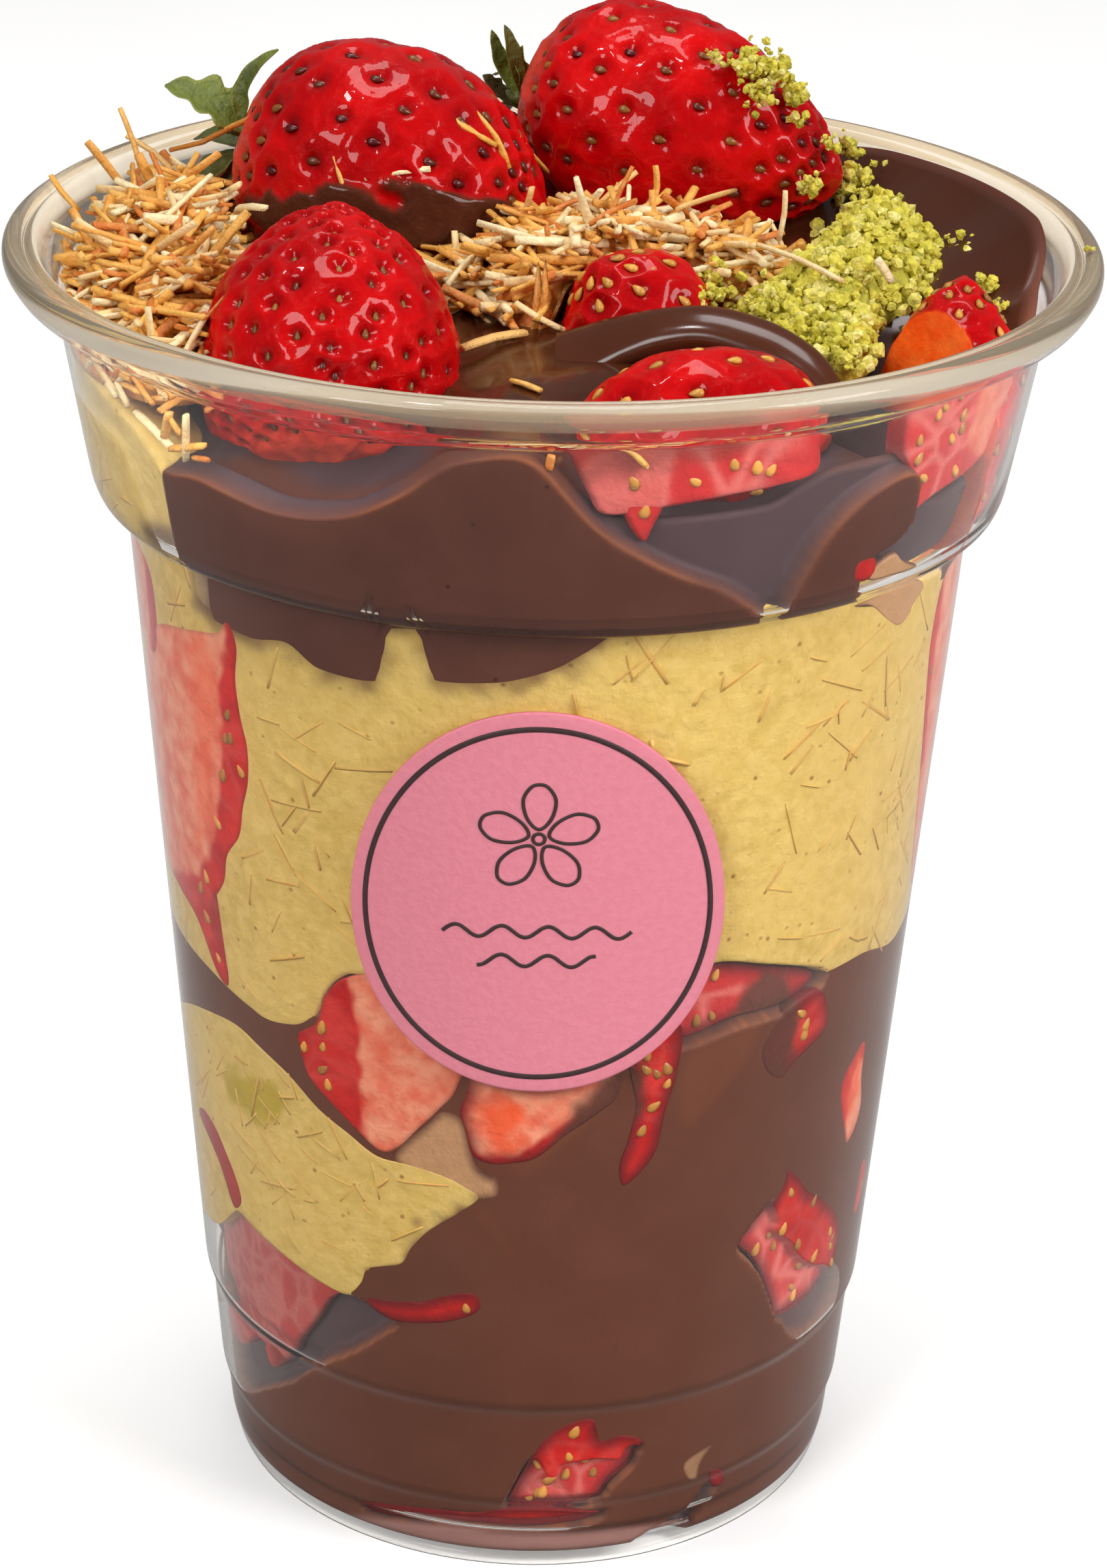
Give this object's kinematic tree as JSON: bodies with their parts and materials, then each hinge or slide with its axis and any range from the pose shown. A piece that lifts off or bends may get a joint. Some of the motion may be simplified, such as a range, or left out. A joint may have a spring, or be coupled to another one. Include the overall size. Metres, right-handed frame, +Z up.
{
  "type": "strawberry dessert cup",
  "caption": "Clear plastic tumbler filled to the brim with layered pistachio cream, chocolate sauce, whole strawberries, crisp pastry threads and nuts.",
  "frame": {"origin": "middle of the foot ring, on the surface the tumbler stands on", "axes": "+Z up along the tumbler's axis; -Y is the front, with the sticker; +X is to the right seen from the front"},
  "size_m": [0.095, 0.095, 0.1317],
  "materials": {
    "clear_plastic": "clear glossy thin-walled plastic",
    "pink_paper": "smooth printed paper with a dark ring",
    "strawberry": "wet red berry skin with golden seeds",
    "leaf": "dull green leaf with dry brown edges",
    "chocolate": "glossy dark chocolate sauce",
    "pistachio_cream": "soft yellow cream with flecks",
    "toasted_threads": "crisp golden pastry threads",
    "pistachio_crumbs": "chopped yellow-green nuts"
  },
  "bodies": {
    "root": {"cup": "clear_plastic", "label": "pink_paper", "berry_back_left": "strawberry", "berry_back_right": "strawberry", "berry_front_left": "strawberry", "berry_front_right": "strawberry", "berry_hazy_left": "strawberry", "berry_middle": "strawberry", "berry_right": "strawberry", "piece_back_high": "strawberry", "piece_back_low": "strawberry", "piece_foot_left": "strawberry", "piece_foot_middle": "strawberry", "piece_foot_right": "strawberry", "piece_left_edge": "strawberry", "piece_right_low": "strawberry", "piece_right_of_label": "strawberry", "piece_under_label": "strawberry", "piece_under_label_left": "strawberry", "slice_right_edge": "strawberry", "slice_tall_left": "strawberry", "slice_thin": "strawberry", "sliver_right": "strawberry", "sliver_right_low": "strawberry", "calyx_back_left": "leaf", "calyx_back_right": "leaf", "chocolate_lower": "chocolate", "chocolate_upper": "chocolate", "cream_lower": "pistachio_cream", "cream_upper": "pistachio_cream", "kataifi_left": "toasted_threads", "kataifi_middle": "toasted_threads", "pistachio_heap": "pistachio_crumbs"}
  },
  "joints": []
}
